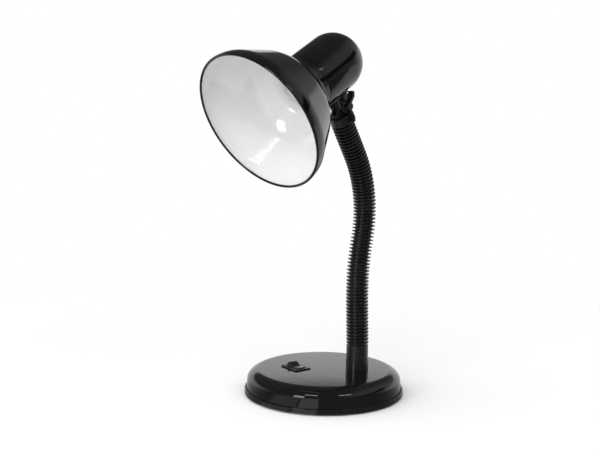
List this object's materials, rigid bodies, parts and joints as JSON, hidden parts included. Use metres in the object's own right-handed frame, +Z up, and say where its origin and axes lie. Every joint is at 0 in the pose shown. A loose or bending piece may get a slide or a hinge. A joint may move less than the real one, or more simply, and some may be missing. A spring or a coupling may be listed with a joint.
{
  "type": "desk lamp",
  "caption": "Desk lamp with a round weighted base, rocker switch, ribbed bending neck, wing-nut hinge, domed cap and bell shade, without bulb or cord.",
  "frame": {"origin": "middle of the underside of the foam pad, on the table", "axes": "+Z up, +X to the right and +Y away from a viewer who faces the switch"},
  "size_m": [0.1733, 0.2051, 0.3158],
  "materials": {
    "foam": "matte foam",
    "black_plastic": "satin",
    "black_gloss": "high gloss",
    "rocker_plastic": "semi gloss",
    "steel": "zinc plated",
    "ballast_steel": "raw",
    "rubber": "matte",
    "white_plastic": "satin",
    "brass": "stamped",
    "wire": "PVC insulation",
    "black_wire": "PVC insulation",
    "black_metal": "gloss paint",
    "sleeve": "satin",
    "black_enamel": "high gloss, the shade white inside"
  },
  "bodies": {
    "base": {"anti_slip_pad": "foam", "base_tray": "black_plastic", "base_screws": "steel", "ballast": "ballast_steel", "base_cover": "black_gloss", "cord_grommet": "rubber", "terminal_block": "white_plastic", "terminal_screws": "brass", "base_leads": "wire", "switch_housing": "black_plastic", "switch_terminals": "brass", "neck_socket": "black_metal", "neck_washer": "steel", "neck_nut": "steel", "neck_cuff": "sleeve", "neck_core": "steel", "neck_lead": "wire"},
    "rocker": {"switch_rocker": "rocker_plastic"},
    "blade": {"switch_blade": "brass"},
    "link_01": {"neck_link_01": "sleeve"},
    "link_02": {"neck_link_02": "sleeve"},
    "link_03": {"neck_link_03": "sleeve"},
    "link_04": {"neck_link_04": "sleeve"},
    "link_05": {"neck_link_05": "sleeve"},
    "link_06": {"neck_link_06": "sleeve"},
    "link_07": {"neck_link_07": "sleeve"},
    "link_08": {"neck_link_08": "sleeve"},
    "link_09": {"neck_link_09": "sleeve"},
    "link_10": {"neck_link_10": "sleeve"},
    "link_11": {"neck_link_11": "sleeve"},
    "link_12": {"neck_link_12": "sleeve"},
    "link_13": {"neck_link_13": "sleeve"},
    "link_14": {"neck_link_14": "sleeve"},
    "link_15": {"neck_link_15": "sleeve"},
    "link_16": {"neck_link_16": "sleeve"},
    "knuckle": {"neck_end": "sleeve", "knuckle": "black_plastic", "knuckle_lead": "black_wire"},
    "head": {"head_bracket": "black_metal", "bracket_screws": "steel", "hinge_bolt": "steel", "hinge_washer": "steel", "lamp_cap": "black_enamel", "shade": "black_enamel", "shade_ring": "white_plastic", "holder_skirt": "white_plastic", "holder_body": "white_plastic", "screw_shell": "brass", "centre_contact": "brass", "contact_screws": "brass", "head_leads": "wire"},
    "wing": {"wing_nut": "black_plastic"}
  },
  "joints": [
    {"name": "neck_lower_bend", "type": "hinge", "parent": "base", "child": "link_01", "pos_m": [0.0293, 0, 0.04826], "axis": [-0.7193, 0.6947, 0], "range_deg": [-6, 5], "deforming": ["neck_core", "neck_lead"]},
    {"name": "neck_lower_bend_02", "type": "hinge", "parent": "link_01", "child": "link_02", "pos_m": [0.029, -0.00031, 0.06049], "axis": [-0.7193, 0.6947, 0], "range_deg": [-6, 5]},
    {"name": "neck_side_bend", "type": "hinge", "parent": "link_02", "child": "link_03", "pos_m": [0.02871, -0.00061, 0.07272], "axis": [0.6942, 0.7189, 0.0349], "range_deg": [-5, 5]},
    {"name": "neck_lower_bend_04", "type": "hinge", "parent": "link_03", "child": "link_04", "pos_m": [0.02841, -0.00092, 0.08496], "axis": [-0.7193, 0.6947, 0], "range_deg": [-6, 5]},
    {"name": "neck_lower_bend_05", "type": "hinge", "parent": "link_04", "child": "link_05", "pos_m": [0.02835, -0.00098, 0.0972], "axis": [-0.7193, 0.6947, 0], "range_deg": [-6, 5]},
    {"name": "neck_side_bend_06", "type": "hinge", "parent": "link_05", "child": "link_06", "pos_m": [0.0288, -0.00052, 0.10942], "axis": [0.6923, 0.7169, -0.0823], "range_deg": [-5, 5]},
    {"name": "neck_lower_bend_07", "type": "hinge", "parent": "link_06", "child": "link_07", "pos_m": [0.02975, 0.00047, 0.12158], "axis": [-0.7193, 0.6947, 0], "range_deg": [-6, 5]},
    {"name": "neck_lower_bend_08", "type": "hinge", "parent": "link_07", "child": "link_08", "pos_m": [0.0312, 0.00197, 0.13364], "axis": [-0.7193, 0.6947, 0], "range_deg": [-6, 5]},
    {"name": "neck_side_bend_09", "type": "hinge", "parent": "link_08", "child": "link_09", "pos_m": [0.03305, 0.00388, 0.14559], "axis": [0.6859, 0.7103, -0.158], "range_deg": [-5, 5]},
    {"name": "neck_upper_bend", "type": "hinge", "parent": "link_09", "child": "link_10", "pos_m": [0.03388, 0.00475, 0.15777], "axis": [-0.7193, 0.6947, 0], "range_deg": [-2, 14]},
    {"name": "neck_upper_bend_11", "type": "hinge", "parent": "link_10", "child": "link_11", "pos_m": [0.0337, 0.00455, 0.17001], "axis": [-0.7193, 0.6947, 0], "range_deg": [-2, 14]},
    {"name": "neck_side_bend_12", "type": "hinge", "parent": "link_11", "child": "link_12", "pos_m": [0.03248, 0.0033, 0.18213], "axis": [0.6803, 0.7045, 0.202], "range_deg": [-5, 5]},
    {"name": "neck_upper_bend_13", "type": "hinge", "parent": "link_12", "child": "link_13", "pos_m": [0.03027, 0.001, 0.19394], "axis": [-0.7193, 0.6947, 0], "range_deg": [-2, 14]},
    {"name": "neck_upper_bend_14", "type": "hinge", "parent": "link_13", "child": "link_14", "pos_m": [0.02708, -0.0023, 0.20529], "axis": [-0.7193, 0.6947, 0], "range_deg": [-2, 14]},
    {"name": "neck_side_bend_15", "type": "hinge", "parent": "link_14", "child": "link_15", "pos_m": [0.02296, -0.00656, 0.216], "axis": [0.6033, 0.6247, 0.4958], "range_deg": [-5, 5]},
    {"name": "neck_upper_bend_16", "type": "hinge", "parent": "link_15", "child": "link_16", "pos_m": [0.01865, -0.01103, 0.22655], "axis": [-0.7193, 0.6947, 0], "range_deg": [-1, 7]},
    {"name": "neck_upper_bend_17", "type": "hinge", "parent": "link_16", "child": "knuckle", "pos_m": [0.01433, -0.0155, 0.23709], "axis": [-0.7193, 0.6947, 0], "range_deg": [-0.4, 2.8]},
    {"name": "head_tilt", "type": "hinge", "parent": "knuckle", "child": "head", "pos_m": [0.01134, -0.0186, 0.25472], "axis": [-0.7193, 0.6947, 0], "range_deg": [-30, 60], "deforming": ["knuckle_lead"]},
    {"name": "wing_nut_turn", "type": "hinge", "parent": "head", "child": "wing", "pos_m": [0.01134, -0.0186, 0.25472], "axis": [0.7193, -0.6947, 0], "range_deg": [0, 180]},
    {"name": "rocker_turn", "type": "hinge", "parent": "base", "child": "rocker", "pos_m": [-0.0246, -0.001, 0.0209], "axis": [-0.809, -0.5878, 0], "range_deg": [0, 22]},
    {"name": "blade_turn", "type": "hinge", "parent": "base", "child": "blade", "pos_m": [-0.0246, -0.001, 0.0134], "axis": [-0.809, -0.5878, 0], "range_deg": [-7.6, 0.3]}
  ],
  "couplings": [
    {"joint": "blade_turn", "follows": "rocker_turn", "ratio": -0.3}
  ]
}
